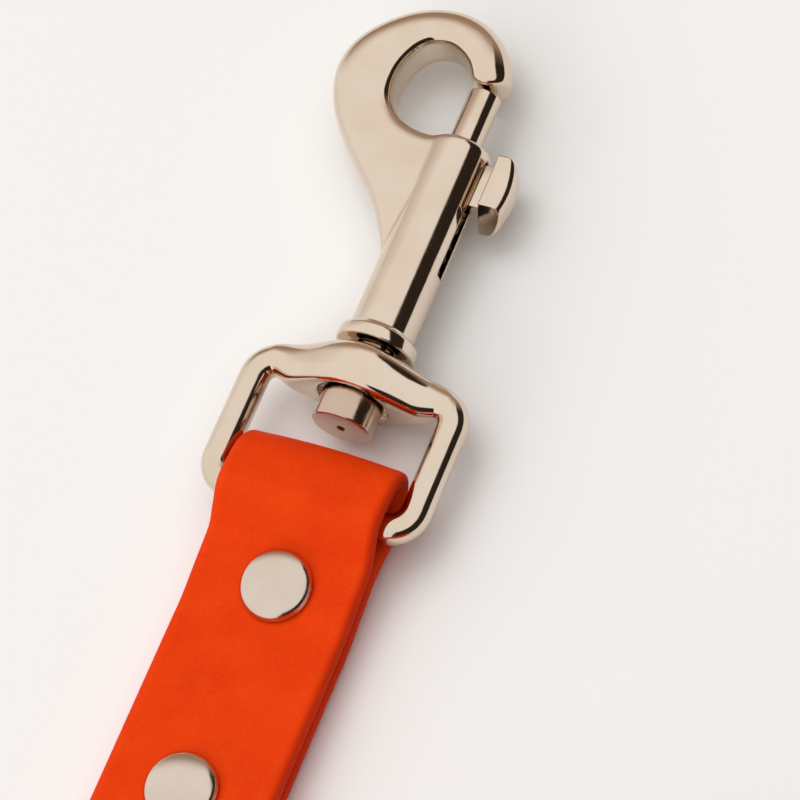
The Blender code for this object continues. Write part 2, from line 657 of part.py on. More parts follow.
def hand_loop(frame, rubber, nickel):
    """The hand loop: the strap's end turned back inside itself and riveted, on edge."""
    centre = Vector((COIL_RADIUS, -COIL_DISTANCE))
    lap = LOOP_LAP / LOOP_RADIUS
    layer = STRAP_THICKNESS + LAYER_GAP
    steps = 60
    line = []
    for step in range(steps + 1):
        turned_by = (2 * math.pi + lap) * step / steps
        ease = min(max((turned_by - lap) / (2 * math.pi - lap), 0), 1)
        radius = LOOP_RADIUS - layer * ease
        angle = LOOP_ANGLE + turned_by
        line.append(centre + radius * Vector((math.cos(angle), math.sin(angle))))
    loop = extruded("strap_hand_loop", strip_outline(line, STRAP_THICKNESS), STRAP_WIDTH)
    place(give(loop, rubber), frame, (0, 0, STRAP_WIDTH / 2))
    round_edges(loop, STRAP_EDGE_RADIUS)
    grip = STRAP_THICKNESS + layer
    hollow = CAP_DIAMETER**2 / 8 / (LOOP_RADIUS - grip)
    middle = LOOP_RADIUS - layer / 2
    for index, side in enumerate((-1, 1)):
        angle = LOOP_ANGLE + lap / 2 + side * LOOP_RIVET_PITCH / 2 / LOOP_RADIUS
        spot = centre + middle * Vector((math.cos(angle), math.sin(angle)))
        location = (spot.x, spot.y, STRAP_WIDTH / 2)
        rotation = (0, math.pi / 2, angle)
        hole = cylinder(f"loop_hole_{index + 1}", POST_DIAMETER / 2 + GAP, 12 * MM, 20)
        combine(loop, place(hole, frame, location, rotation, cutter=True), "DIFFERENCE")
        rivet(f"handle_rivet_{index + 1}", frame, location, rotation, grip, nickel, hollow)


def build():
    start_scene()
    rubber = make_material("orange_coated_strap", (0.83, 0.055, 0.006), 0.5, 0.0)
    nickel = make_material("polished_nickel", (0.62, 0.55, 0.48), 0.12, 1.0)
    steel = make_material("spring_steel", (0.55, 0.55, 0.56), 0.3, 1.0)
    frame = add_empty("leash_frame", (FRAME_X, FRAME_Y, 0))
    pivot = add_empty("bail_pivot", (0, 0, SNAP_PLANE), frame)
    swivel = add_empty("swivel_axis", (0, 0, 0), pivot)
    grip = 2 * STRAP_THICKNESS + LAYER_GAP
    middle = STRAP_LIFT + grip / 2
    seats = [((RIVET_OFFSETS[0], -RIVET_TO_BAR, middle + RIVET_RISE), (RIVET_TILT, 0, 0)),
             ((RIVET_OFFSETS[1], -RIVET_TO_BAR - RIVET_PITCH, middle), (0, 0, 0))]
    strap_end(frame, rubber, seats)
    for index, (location, rotation) in enumerate(seats):
        rivet(f"hook_rivet_{index + 1}", frame, location, rotation, grip, nickel)
    bail(pivot, nickel)
    swivel_pin(swivel, nickel)
    snap_body(swivel, nickel)
    bolt_and_knob(swivel, nickel)
    bolt_spring(swivel, steel)
    strap_run(frame, rubber)
    strap_coil(frame, rubber)
    hand_loop(frame, rubber, nickel)


build()
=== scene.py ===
"""Looks for the training leash: polished snap and bail, coated strap, rivets and the coil."""

import math

import bmesh
import bpy
from mathutils import Matrix, Vector


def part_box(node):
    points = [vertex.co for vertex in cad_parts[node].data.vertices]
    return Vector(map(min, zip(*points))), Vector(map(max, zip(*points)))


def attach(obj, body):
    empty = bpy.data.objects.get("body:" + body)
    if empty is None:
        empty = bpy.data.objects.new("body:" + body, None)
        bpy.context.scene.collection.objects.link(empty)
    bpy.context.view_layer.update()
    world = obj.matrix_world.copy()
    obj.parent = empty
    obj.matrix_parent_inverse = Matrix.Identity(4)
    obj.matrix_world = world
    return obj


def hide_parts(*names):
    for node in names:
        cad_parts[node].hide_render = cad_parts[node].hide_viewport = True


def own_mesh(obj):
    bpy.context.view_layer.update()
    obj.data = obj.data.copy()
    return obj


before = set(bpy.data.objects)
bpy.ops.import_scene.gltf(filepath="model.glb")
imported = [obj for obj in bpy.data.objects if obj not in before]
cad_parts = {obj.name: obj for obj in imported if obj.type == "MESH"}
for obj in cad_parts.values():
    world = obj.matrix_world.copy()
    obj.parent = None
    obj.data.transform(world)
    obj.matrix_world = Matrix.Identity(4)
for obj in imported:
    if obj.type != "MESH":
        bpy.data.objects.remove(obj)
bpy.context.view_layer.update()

MM = 0.001

# Sizes shared with the part
STRAP_WIDTH = 25.0 * MM
STRAP_THICKNESS = 2.4 * MM
LAYER_GAP = 0.3 * MM
LOWER_LAYER = 2.4 * MM
UPPER_LAYER = LOWER_LAYER + STRAP_THICKNESS + LAYER_GAP
FOLD_SLACK = 4.3 * MM
RIVET_TO_BAR = 12.2 * MM
RIVET_PITCH = 31.5 * MM
RIVET_OFFSETS = (0.6 * MM, -0.5 * MM)
RIVET_TILTS = (math.radians(8.0), 0.0)
CAP_RADIUS = 5.25 * MM
POST_RADIUS = 1.4 * MM
BAR_RADIUS = 2.3 * MM
BAIL_HEIGHT = 20.2 * MM
BAIL_CORNER = 3.4 * MM
BOSS_LENGTH = 31.0 * MM
BOSS_DEEP_LENGTH = 27.0 * MM
BOSS_FLAT_LENGTH = 19.0 * MM
BOSS_DEPTH = 14.0 * MM
BOSS_TOP = 24.5 * MM
BOSS_UNDERSIDE = 16.7 * MM
BARREL_RADIUS = 4.9 * MM
COLLAR_RADIUS = 6.0 * MM
COLLAR_HEIGHT = 2.2 * MM
HOOK_REACH = 23.7 * MM
HOOK_RISE = 21.9 * MM
TIP_RISE = 9.8 * MM
BOLT_RADIUS = 2.55 * MM
KNOB_SLANT = 2.4 * MM
HOOK_THICKNESS = 7.6 * MM
COIL_RADIUS = 84.0 * MM
COIL_PITCH = 9.2 * MM
COIL_DISTANCE = 150.0 * MM
TWIST_START = 66.0 * MM
TWIST_END = 146.0 * MM
LOOP_RADIUS = 54.0 * MM
LOOP_LAP = 44.0 * MM

# The bail's lower bar stands over the design's own origin
bail_low, bail_high = [Vector(corner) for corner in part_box("bail")]
snap_low, snap_high = [Vector(corner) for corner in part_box("snap_body")]
strap_low, strap_high = [Vector(corner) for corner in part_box("strap_hook_end")]
ORIGIN = Vector(((bail_low.x + bail_high.x) / 2, bail_low.y + BAR_RADIUS, 0))
SNAP_PLANE = (bail_low.z + bail_high.z) / 2
COLLAR_FOOT = snap_low.y - ORIGIN.y
BARREL_MOUTH = snap_high.y - ORIGIN.y - HOOK_RISE
HOOK_END = ORIGIN.y - strap_low.y
LEG_OFFSET = (bail_high.x - bail_low.x) / 2 - BAR_RADIUS
RIVET_RISE = math.tan(RIVET_TILTS[0]) * CAP_RADIUS

ALONG_Y = (-math.pi / 2, 0, 0)


# Camera and light

def add_camera():
    """A long lens above the strap's right side, turned so that the snap points up and right."""
    turn = math.radians(43.0)
    rise = math.radians(60.7)
    roll = math.radians(23.6)
    back = Vector((math.sin(turn) * math.cos(rise), -math.cos(turn) * math.cos(rise),
                   math.sin(rise)))
    level = Vector((math.cos(turn), math.sin(turn), 0))
    upright = back.cross(level)
    right = level * math.cos(roll) - upright * math.sin(roll)
    up = level * math.sin(roll) + upright * math.cos(roll)
    camera = bpy.data.objects.new("camera", bpy.data.cameras.new("camera"))
    camera.data.lens = 129.6
    camera.data.clip_start = 0.01
    place = ORIGIN + Vector((142.5, -126.7, 362.3)) * MM
    camera.matrix_world = Matrix.LocRotScale(
        place, Matrix((right, up, back)).transposed().to_quaternion(), None)
    bpy.context.scene.collection.objects.link(camera)
    bpy.context.scene.camera = camera


def add_light():
    """A white tent with a dark doorway on its right and a dim far side, and two softboxes."""
    world = bpy.data.worlds.new("studio")
    world.use_nodes = True
    tree = world.node_tree
    tree.nodes.clear()
    link = tree.links.new
    coords = tree.nodes.new("ShaderNodeTexCoord")
    ragged = tree.nodes.new("ShaderNodeTexNoise")
    ragged.inputs["Scale"].default_value = 9
    ragged.inputs["Detail"].default_value = 3
    link(coords.outputs["Generated"], ragged.inputs["Vector"])
    wobble = tree.nodes.new("ShaderNodeVectorMath")
    wobble.operation = "MULTIPLY_ADD"
    wobble.inputs[1].default_value = (0.06, 0.06, 0.06)
    link(ragged.outputs["Color"], wobble.inputs[0])
    link(coords.outputs["Generated"], wobble.inputs[2])
    aside = tree.nodes.new("ShaderNodeVectorMath")
    aside.operation = "DOT_PRODUCT"
    aside.inputs[1].default_value = (0.90, 0.43, 0)
    link(wobble.outputs["Vector"], aside.inputs[0])
    split = tree.nodes.new("ShaderNodeSeparateXYZ")
    link(wobble.outputs["Vector"], split.inputs["Vector"])
    side = tree.nodes.new("ShaderNodeMapRange")
    side.interpolation_type = "SMOOTHSTEP"
    side.inputs["From Min"].default_value = 0.52
    side.inputs["From Max"].default_value = 0.60
    link(aside.outputs["Value"], side.inputs["Value"])
    low = tree.nodes.new("ShaderNodeMapRange")
    low.interpolation_type = "SMOOTHSTEP"
    low.inputs["From Min"].default_value = 0.74
    low.inputs["From Max"].default_value = 0.68
    link(split.outputs["Z"], low.inputs["Value"])
    near = tree.nodes.new("ShaderNodeVectorMath")
    near.operation = "DOT_PRODUCT"
    near.inputs[1].default_value = (0.95, -0.30, 0)
    link(wobble.outputs["Vector"], near.inputs[0])
    corner = tree.nodes.new("ShaderNodeMapRange")
    corner.interpolation_type = "SMOOTHSTEP"
    corner.inputs["From Min"].default_value = 0.42
    corner.inputs["From Max"].default_value = 0.50
    link(near.outputs["Value"], corner.inputs["Value"])
    wide = tree.nodes.new("ShaderNodeMath")
    wide.operation = "MAXIMUM"
    link(side.outputs["Result"], wide.inputs[0])
    link(corner.outputs["Result"], wide.inputs[1])
    door = tree.nodes.new("ShaderNodeMath")
    door.operation = "MULTIPLY"
    link(wide.outputs["Value"], door.inputs[0])
    link(low.outputs["Result"], door.inputs[1])
    path = tree.nodes.new("ShaderNodeLightPath")
    seen = tree.nodes.new("ShaderNodeMath")
    seen.operation = "SUBTRACT"
    seen.use_clamp = True
    link(door.outputs["Value"], seen.inputs[0])
    link(path.outputs["Is Camera Ray"], seen.inputs[1])
    mix = tree.nodes.new("ShaderNodeMix")
    mix.data_type = "RGBA"
    mix.inputs["A"].default_value = (1.0, 0.985, 0.965, 1)
    mix.inputs["B"].default_value = (0.030, 0.022, 0.016, 1)
    link(seen.outputs["Value"], mix.inputs["Factor"])
    away = tree.nodes.new("ShaderNodeVectorMath")
    away.operation = "DOT_PRODUCT"
    away.inputs[1].default_value = (-0.35, 0.94, 0)
    link(wobble.outputs["Vector"], away.inputs[0])
    room = tree.nodes.new("ShaderNodeMapRange")
    room.interpolation_type = "SMOOTHSTEP"
    room.inputs["From Min"].default_value = 0.58
    room.inputs["From Max"].default_value = 0.90
    link(away.outputs["Value"], room.inputs["Value"])
    hidden = tree.nodes.new("ShaderNodeMath")
    hidden.operation = "SUBTRACT"
    hidden.use_clamp = True
    link(room.outputs["Result"], hidden.inputs[0])
    link(path.outputs["Is Camera Ray"], hidden.inputs[1])
    fade = tree.nodes.new("ShaderNodeMix")
    fade.data_type = "RGBA"
    fade.inputs["B"].default_value = (0.42, 0.30, 0.22, 1)
    link(mix.outputs["Result"], fade.inputs["A"])
    link(hidden.outputs["Value"], fade.inputs["Factor"])
    tent = tree.nodes.new("ShaderNodeBackground")
    tent.inputs["Strength"].default_value = 1.0
    link(fade.outputs["Result"], tent.inputs["Color"])
    link(tent.outputs["Background"], tree.nodes.new("ShaderNodeOutputWorld").inputs["Surface"])
    bpy.context.scene.world = world
    for name, place, size, power in (("low_softbox", (-0.25, -0.75, 0.30), 0.35, 1.0),
                                     ("top_softbox", (-0.35, 0.25, 1.0), 0.7, 2.4)):
        light = bpy.data.lights.new(name, "AREA")
        light.size = size
        light.energy = power
        light.color = (1.0, 0.985, 0.96)
        lamp = bpy.data.objects.new(name, light)
        lamp.visible_glossy = False
        lamp.location = ORIGIN + Vector(place)
        lamp.rotation_euler = (-Vector(place)).to_track_quat("-Z", "Y").to_euler()
        bpy.context.scene.collection.objects.link(lamp)
    bpy.context.scene.view_settings.view_transform = "Standard"


# Materials

def new_material(name, colour, roughness, metallic):
    material = bpy.data.materials.new(name)
    material.use_nodes = True
    shader = material.node_tree.nodes["Principled BSDF"]
    shader.inputs["Base Color"].default_value = (*colour, 1)
    shader.inputs["Roughness"].default_value = roughness
    shader.inputs["Metallic"].default_value = metallic
    return material, material.node_tree, shader


def noise(tree, scale, detail=2, vector=None, roughness=0.5):
    node = tree.nodes.new("ShaderNodeTexNoise")
    node.inputs["Scale"].default_value = scale
    node.inputs["Detail"].default_value = detail
    node.inputs["Roughness"].default_value = roughness
    if vector:
        tree.links.new(vector, node.inputs["Vector"])
    return node


def ramp(tree, source, low, high, first, last):
    """Map a value from low..high to first..last."""
    node = tree.nodes.new("ShaderNodeMapRange")
    node.inputs["From Min"].default_value = low
    node.inputs["From Max"].default_value = high
    node.inputs["To Min"].default_value = first
    node.inputs["To Max"].default_value = last
    tree.links.new(source, node.inputs["Value"])
    return node.outputs["Result"]


def blend_colour(tree, factor, first, last):
    node = tree.nodes.new("ShaderNodeMix")
    node.data_type = "RGBA"
    tree.links.new(factor, node.inputs["Factor"])
    for socket, value in (("A", first), ("B", last)):
        if isinstance(value, tuple):
            node.inputs[socket].default_value = (*value, 1)
        else:
            tree.links.new(value, node.inputs[socket])
    return node.outputs["Result"]


def bump(tree, height, distance, before=None):
    node = tree.nodes.new("ShaderNodeBump")
    node.inputs["Distance"].default_value = distance
    tree.links.new(height, node.inputs["Height"])
    if before:
        tree.links.new(before, node.inputs["Normal"])
    return node.outputs["Normal"]


def polished_nickel(name, colour, roughness, waves):
    """Warm bright nickel plate: faint polishing waves, pinholes and softer, duller patches."""
    material, tree, shader = new_material(name, colour, roughness, 1.0)
    place = tree.nodes.new("ShaderNodeTexCoord").outputs["Object"]
    patches = noise(tree, 160, 3, place).outputs["Fac"]
    tint = blend_colour(tree, ramp(tree, patches, 0.35, 0.7, 0, 1), colour,
                        tuple(part * shade for part, shade in zip(colour, (0.96, 0.93, 0.88))))
    tree.links.new(tint, shader.inputs["Base Color"])
    dull = ramp(tree, noise(tree, 420, 4, place).outputs["Fac"], 0.3, 0.75, 0.7 * roughness,
                1.7 * roughness)
    tree.links.new(dull, shader.inputs["Roughness"])
    swell = bump(tree, noise(tree, 260, 2, place).outputs["Fac"], waves)
    pores = ramp(tree, noise(tree, 2600, 2, place).outputs["Fac"], 0.20, 0.26, 0, 1)
    tree.links.new(bump(tree, pores, 0.004 * MM, swell), shader.inputs["Normal"])
    return material


def coated_strap():
    """Bright orange coating over webbing: fine matt grain, faint mottling, and painted shade darkening
    its rounded edges.
    """
    orange = (0.82, 0.048, 0.0015)
    material, tree, shader = new_material("orange_strap_coating", orange, 0.5, 0.0)
    shader.inputs["Specular IOR Level"].default_value = 0.06
    coords = tree.nodes.new("ShaderNodeTexCoord")
    place = coords.outputs["Object"]
    mottle = ramp(tree, noise(tree, 140, 5, place, 0.62).outputs["Fac"], 0.32, 0.70, 0, 1)
    base = blend_colour(tree, mottle, (0.77, 0.040, 0.0012), (0.85, 0.054, 0.0020))
    grain = noise(tree, 2300, 3, place, 0.7).outputs["Fac"]
    base = blend_colour(tree, ramp(tree, grain, 0.42, 0.68, 0, 0.30), base, (0.90, 0.085, 0.006))
    across = tree.nodes.new("ShaderNodeSeparateXYZ")
    tree.links.new(coords.outputs["UV"], across.inputs["Vector"])
    from_middle = tree.nodes.new("ShaderNodeMath")
    from_middle.operation = "ABSOLUTE"
    tree.links.new(across.outputs["X"], from_middle.inputs[0])
    # Painted shade: the colour darkens over the rounded edges, where they turn away from the light.
    edge = ramp(tree, from_middle.outputs["Value"], 0.455, 0.5, 0, 0.8)
    base = blend_colour(tree, edge, base, (0.62, 0.030, 0.003))
    tree.links.new(base, shader.inputs["Base Color"])
    tree.links.new(ramp(tree, grain, 0.3, 0.7, 0.46, 0.62), shader.inputs["Roughness"])
    pebbles = bump(tree, grain, 0.035 * MM)
    lumps = noise(tree, 420, 2, place).outputs["Fac"]
    tree.links.new(bump(tree, lumps, 0.05 * MM, pebbles), shader.inputs["Normal"])
    return material


def spring_wire():
    """Drawn steel wire with fine streaks."""
    material, tree, shader = new_material("spring_wire", (0.50, 0.50, 0.52), 0.3, 1.0)
    place = tree.nodes.new("ShaderNodeTexCoord").outputs["Object"]
    streaks = noise(tree, 3000, 3, place).outputs["Fac"]
    tree.links.new(ramp(tree, streaks, 0.3, 0.7, 0.2, 0.45), shader.inputs["Roughness"])
    tree.links.new(bump(tree, streaks, 0.01 * MM), shader.inputs["Normal"])
    return material


def pale_floor():
    material, tree, shader = new_material("pale_floor", (0.93, 0.93, 0.93), 0.9, 0.0)
    place = tree.nodes.new("ShaderNodeTexCoord").outputs["Object"]
    soft = noise(tree, 2.0, 2, place).outputs["Fac"]
    tree.links.new(ramp(tree, soft, 0.3, 0.7, 0.86, 0.94), shader.inputs["Roughness"])
    shader.inputs["Specular IOR Level"].default_value = 0.1
    return material


# Modelling helpers

def deselect():
    bpy.ops.object.select_all(action="DESELECT")


def choose(piece):
    """Make one object the only one selected."""
    deselect()
    piece.select_set(True)
    bpy.context.view_layer.objects.active = piece


def settle(piece):
    """Put a piece's place, turn and scale into its mesh."""
    choose(piece)
    bpy.ops.object.transform_apply(location=True, rotation=True, scale=True)


def outward(piece):
    choose(piece)
    bpy.ops.object.mode_set(mode="EDIT")
    bpy.ops.mesh.select_all(action="SELECT")
    bpy.ops.mesh.normals_make_consistent(inside=False)
    bpy.ops.object.mode_set(mode="OBJECT")


def smooth(piece, angle=32):
    choose(piece)
    bpy.ops.object.shade_smooth_by_angle(angle=math.radians(angle))


def finish_piece(piece, material, body, slot, *nodes):
    """Give a piece its material and its body, and hide the CAD nodes that it stands for."""
    piece.data.materials.clear()
    piece.data.materials.append(material)
    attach(piece, body)
    if nodes:
        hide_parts(*nodes)


def turned(name, rings, place, rotation=(0, 0, 0), sides=96):
    """A turned piece: a disc on local Z, extruded and resized from ring to ring."""
    deselect()
    bpy.ops.mesh.primitive_circle_add(vertices=sides, radius=rings[0][0], fill_type="NGON",
                                      location=(0, 0, rings[0][1]))
    piece = bpy.context.object
    piece.name = name
    settle(piece)
    bpy.ops.object.mode_set(mode="EDIT")
    bpy.ops.mesh.select_all(action="SELECT")
    for (radius, height), (next_radius, next_height) in zip(rings, rings[1:]):
        bpy.ops.mesh.extrude_region_move(
            TRANSFORM_OT_translate={"value": (0, 0, next_height - height)})
        ratio = next_radius / radius
        bpy.ops.transform.resize(value=(ratio, ratio, 1), center_override=(0, 0, 0))
    bpy.ops.mesh.select_all(action="SELECT")
    bpy.ops.mesh.normals_make_consistent(inside=False)
    bpy.ops.object.mode_set(mode="OBJECT")
    piece.rotation_euler = rotation
    piece.location = place
    settle(piece)
    smooth(piece)
    return piece


def quarter(radius, height, size, start, end, steps=5):
    """Rings of a rounded edge about (radius, height), angles in degrees from level."""
    rings = []
    for step in range(steps + 1):
        angle = math.radians(start + (end - start) * step / steps)
        rings.append((radius + size * math.cos(angle), height + size * math.sin(angle)))
    return rings


def smooth_line(points, steps):
    """Points on a Catmull-Rom curve through the given ones, steps to each stretch."""
    points = [Vector(point) for point in points]
    padded = [2 * points[0] - points[1]] + points + [2 * points[-1] - points[-2]]
    line = []
    for a, b, c, d in zip(padded, padded[1:], padded[2:], padded[3:]):
        for step in range(steps):
            t = step / steps
            line.append(0.5 * (2 * b + (c - a) * t + (2 * a - 5 * b + 4 * c - d) * t**2
                               + (3 * b - a - 3 * c + d) * t**3))
    return line + [points[-1]]


def even_line(points, step):
    """The same line with points an even step apart."""
    lengths = [0.0]
    for one, two in zip(points, points[1:]):
        lengths.append(lengths[-1] + (two - one).length)
    count = max(2, round(lengths[-1] / step))
    line = []
    index = 0
    for number in range(count + 1):
        target = lengths[-1] * number / count
        while index < len(points) - 2 and lengths[index + 1] < target:
            index += 1
        span = lengths[index + 1] - lengths[index]
        line.append(points[index].lerp(points[index + 1],
                                       min(max((target - lengths[index]) / span, 0), 1)))
    return line


def plate(name, outline, height):
    """A flat outline in XY given its height, centred on Z = 0."""
    deselect()
    bpy.ops.mesh.primitive_circle_add(vertices=len(outline), radius=0.01, fill_type="NGON",
                                      location=(0, 0, 0))
    piece = bpy.context.object
    piece.name = name
    for vertex, spot in zip(piece.data.vertices, outline):
        vertex.co = (spot[0], spot[1], -height / 2)
    bpy.ops.object.mode_set(mode="EDIT")
    bpy.ops.mesh.select_all(action="SELECT")
    bpy.ops.mesh.extrude_region_move(TRANSFORM_OT_translate={"value": (0, 0, height)})
    bpy.ops.mesh.select_all(action="SELECT")
    bpy.ops.mesh.normals_make_consistent(inside=False)
    bpy.ops.object.mode_set(mode="OBJECT")
    return piece


def apply_modifier(piece, kind, **settings):
    choose(piece)
    bpy.ops.object.modifier_add(type=kind)
    modifier = piece.modifiers[-1]
    for key, value in settings.items():
        setattr(modifier, key, value)
    bpy.ops.object.modifier_apply(modifier=modifier.name)


def block(name, centre, size):
    deselect()
    bpy.ops.mesh.primitive_cube_add(size=1, location=centre)
    piece = bpy.context.object
    piece.name = name
    piece.scale = size
    settle(piece)
    return piece


def cut(piece, cutter):
    """Take a cutter out of a piece, and remove the cutter."""
    apply_modifier(piece, "BOOLEAN", operation="DIFFERENCE", solver="EXACT", object=cutter)
    bpy.data.objects.remove(cutter, do_unlink=True)


def fuse(pieces, voxel, rounds):
    """Cast several overlapping solids as one, with soft hollows where they meet."""
    choose(pieces[0])
    for other in pieces[1:]:
        other.select_set(True)
    bpy.ops.object.join()
    piece = bpy.context.object
    apply_modifier(piece, "REMESH", mode="VOXEL", voxel_size=voxel, use_smooth_shade=True)
    apply_modifier(piece, "SMOOTH", factor=0.5, iterations=rounds)
    return piece


def recast(piece, voxel, rounds):
    """Break every cut edge a little, as tumbling does."""
    apply_modifier(piece, "REMESH", mode="VOXEL", voxel_size=voxel, use_smooth_shade=True)
    apply_modifier(piece, "SMOOTH", factor=0.5, iterations=rounds)
    choose(piece)
    bpy.ops.object.shade_smooth()


def bevel_where(piece, test, size, segments):
    """Bevel the edges whose two ends pass the test."""
    choose(piece)
    bpy.ops.object.mode_set(mode="EDIT")
    bpy.ops.mesh.select_mode(type="EDGE")
    bpy.ops.mesh.select_all(action="DESELECT")
    work = bmesh.from_edit_mesh(piece.data)
    for edge in work.edges:
        if test(edge.verts[0].co) and test(edge.verts[1].co) and edge.calc_face_angle(0) > 0.6:
            edge.select_set(True)
    bmesh.update_edit_mesh(piece.data)
    bpy.ops.mesh.bevel(offset=size, segments=segments, affect="EDGES", clamp_overlap=False)
    bpy.ops.object.mode_set(mode="OBJECT")


# The strap

def strap_section(steps):
    """Round the strap's section: (across, up), rounded edges and a faint bead beside each."""
    half = STRAP_WIDTH / 2
    thick = STRAP_THICKNESS / 2
    corner = 1.0 * MM
    ring = []
    for side in (1, -1):
        for step in range(steps + 1):
            across = side * (half - corner) * (1 - 2 * step / steps)
            bead = 0.05 * MM * math.exp(-((half - 1.5 * MM - abs(across)) / (0.55 * MM)) ** 2)
            ring.append((across, side * (thick + bead)))
        for step in range(1, 8):
            angle = math.radians(90 + 180 * step / 8)
            ring.append((side * (-half + corner + corner * math.cos(angle)),
                         side * thick * math.sin(angle)))
    return ring


def sweep(name, spots, section, shape=None):
    """A closed strap along spots of (place, across, up, distance), with UVs along it."""
    mesh = bpy.data.meshes.new(name)
    work = bmesh.new()
    layer = work.loops.layers.uv.new("strap")
    rings = []
    for place, across, up, distance in spots:
        ring = []
        for wide, thick in section:
            spot = place + across * wide + up * thick
            if shape:
                spot = shape(spot, wide, thick, distance)
            ring.append(work.verts.new(spot))
        rings.append(ring)
    count = len(section)
    for index in range(len(rings) - 1):
        for step in range(count):
            after = (step + 1) % count
            face = work.faces.new((rings[index][step], rings[index][after],
                                   rings[index + 1][after], rings[index + 1][step]))
            face.smooth = True
            widths = [section[step][0], section[after][0], section[after][0], section[step][0]]
            ends = [spots[index][3]] * 2 + [spots[index + 1][3]] * 2
            for loop, wide, end in zip(face.loops, widths, ends):
                loop[layer].uv = (wide / STRAP_WIDTH, end)
    for ring in (rings[0][::-1], rings[-1]):
        face = work.faces.new(ring)
        for loop in face.loops:
            loop[layer].uv = (0.5, 0)
    bmesh.ops.recalc_face_normals(work, faces=work.faces)
    work.to_mesh(mesh)
    work.free()
    piece = bpy.data.objects.new(name, mesh)
    bpy.context.scene.collection.objects.link(piece)
    return piece


def fold_line():
    """The riveted end's middle line in (along, up): under the bar, round it and back."""
    wrap = BAR_RADIUS + 0.3 * MM + STRAP_THICKNESS / 2
    tip = BAR_RADIUS + FOLD_SLACK + STRAP_THICKNESS / 2
    flat = -RIVET_TO_BAR - CAP_RADIUS
    front = -RIVET_TO_BAR + CAP_RADIUS
    rise = SNAP_PLANE + wrap
    drop = SNAP_PLANE - wrap
    slope = UPPER_LAYER + 2 * RIVET_RISE
    lean = (math.asin(wrap / math.hypot(front, SNAP_PLANE - slope))
            + math.atan2(SNAP_PLANE - slope, -front) + math.radians(1.5))
    landing = Vector((-wrap * math.sin(lean), SNAP_PLANE + wrap * math.cos(lean)))
    crest = Vector((-wrap * math.sin(lean / 2), SNAP_PLANE + wrap * math.cos(lean / 2)))
    bend = smooth_line([(flat - 4 * MM, LOWER_LAYER), (flat, LOWER_LAYER),
                        (-RIVET_TO_BAR, LOWER_LAYER + RIVET_RISE),
                        (front, LOWER_LAYER + 2 * RIVET_RISE),
                        (0.5 * front, (LOWER_LAYER + 2 * RIVET_RISE + drop) / 2 + 0.1 * MM),
                        (0, drop), (0.66 * tip, SNAP_PLANE - 0.66 * wrap), (tip, SNAP_PLANE),
                        (0.70 * tip, SNAP_PLANE + 0.74 * wrap), (0.05 * tip, rise), crest, landing,
                        ((front + landing.x) / 2, (slope + landing.y) / 2 - 0.1 * MM),
                        (front, slope), (-RIVET_TO_BAR, UPPER_LAYER + RIVET_RISE),
                        (flat, UPPER_LAYER), (flat - 4 * MM, UPPER_LAYER)], 16)
    line = [Vector((-HOOK_END, LOWER_LAYER)), *bend, Vector((-HOOK_END, UPPER_LAYER))]
    return even_line(line, 0.6 * MM)


def strap_fold(coating):
    line = fold_line()
    rivets = [(ORIGIN.x + RIVET_OFFSETS[index], ORIGIN.y - RIVET_TO_BAR - RIVET_PITCH * index)
              for index in range(2)]
    spots = []
    for index, spot in enumerate(line):
        before = line[max(index - 1, 0)]
        after = line[min(index + 1, len(line) - 1)]
        along = (after - before).normalized()
        place = ORIGIN + Vector((0, spot.x, spot.y))
        spots.append((place, Vector((1, 0, 0)), Vector((0, along.y, -along.x)),
                      0.6 * MM * index))

    def shape(spot, wide, thick, distance):
        """The fold bows back at its ends, and the caps press into the face."""
        front = max((spot.y - ORIGIN.y + 4 * MM) / (12 * MM), 0)
        spot.y -= 0.55 * MM * (wide / (STRAP_WIDTH / 2)) ** 2 * min(front, 1)
        if spot.z > UPPER_LAYER and thick > 0:
            for x, y in rivets:
                away = math.hypot(spot.x - x, spot.y - y)
                press = max(0, 1 - max(away - CAP_RADIUS, 0) / (2.2 * MM))
                spot.z -= 0.22 * MM * press * press
        return spot

    piece = sweep("strap_fold", spots, strap_section(40), shape)
    finish_piece(piece, coating, "strap", "strap", "strap_hook_end")
    return piece


def stored_strap(coating):
    """The strap from the fold to the hand loop: it turns on edge and winds a loose coil."""
    half = STRAP_THICKNESS / 2
    route = []
    start = HOOK_END + 0.02 * MM
    for step in range(61):
        distance = start + (COIL_DISTANCE - start) * step / 60
        turn = min(max((distance - TWIST_START) / (TWIST_END - TWIST_START), 0), 1)
        tilt = math.pi / 2 * turn * turn * (3 - 2 * turn)
        settled = min(turn * 3, 1)
        height = (STRAP_WIDTH / 2 * math.sin(tilt) + half * math.cos(tilt)
                  + (UPPER_LAYER - half) * (1 - settled * settled * (3 - 2 * settled)))
        route.append((ORIGIN + Vector((0, -distance, height)),
                      Vector((math.cos(tilt), 0, math.sin(tilt))),
                      Vector((-math.sin(tilt), 0, math.cos(tilt)))))
    centre = ORIGIN + Vector((COIL_RADIUS, -COIL_DISTANCE, STRAP_WIDTH / 2))
    turns = (COIL_RADIUS - LOOP_RADIUS) / COIL_PITCH
    count = round(turns * 120)
    for step in range(1, count + 1):
        angle = math.pi + 2 * math.pi * turns * step / count
        radius = COIL_RADIUS - COIL_PITCH * turns * step / count
        away = Vector((math.cos(angle), math.sin(angle), 0))
        route.append((centre + radius * away, Vector((0, 0, 1)), away))
    spots = []
    distance = 0
    for index, (place, across, up) in enumerate(route):
        if index:
            distance += (place - route[index - 1][0]).length
        spots.append((place, across, up, distance))
    piece = sweep("stored_strap", spots, strap_section(16))
    finish_piece(piece, coating, "strap", "strap", "strap_run", "strap_coil")
    return piece, [place for place, across, up in route], distance


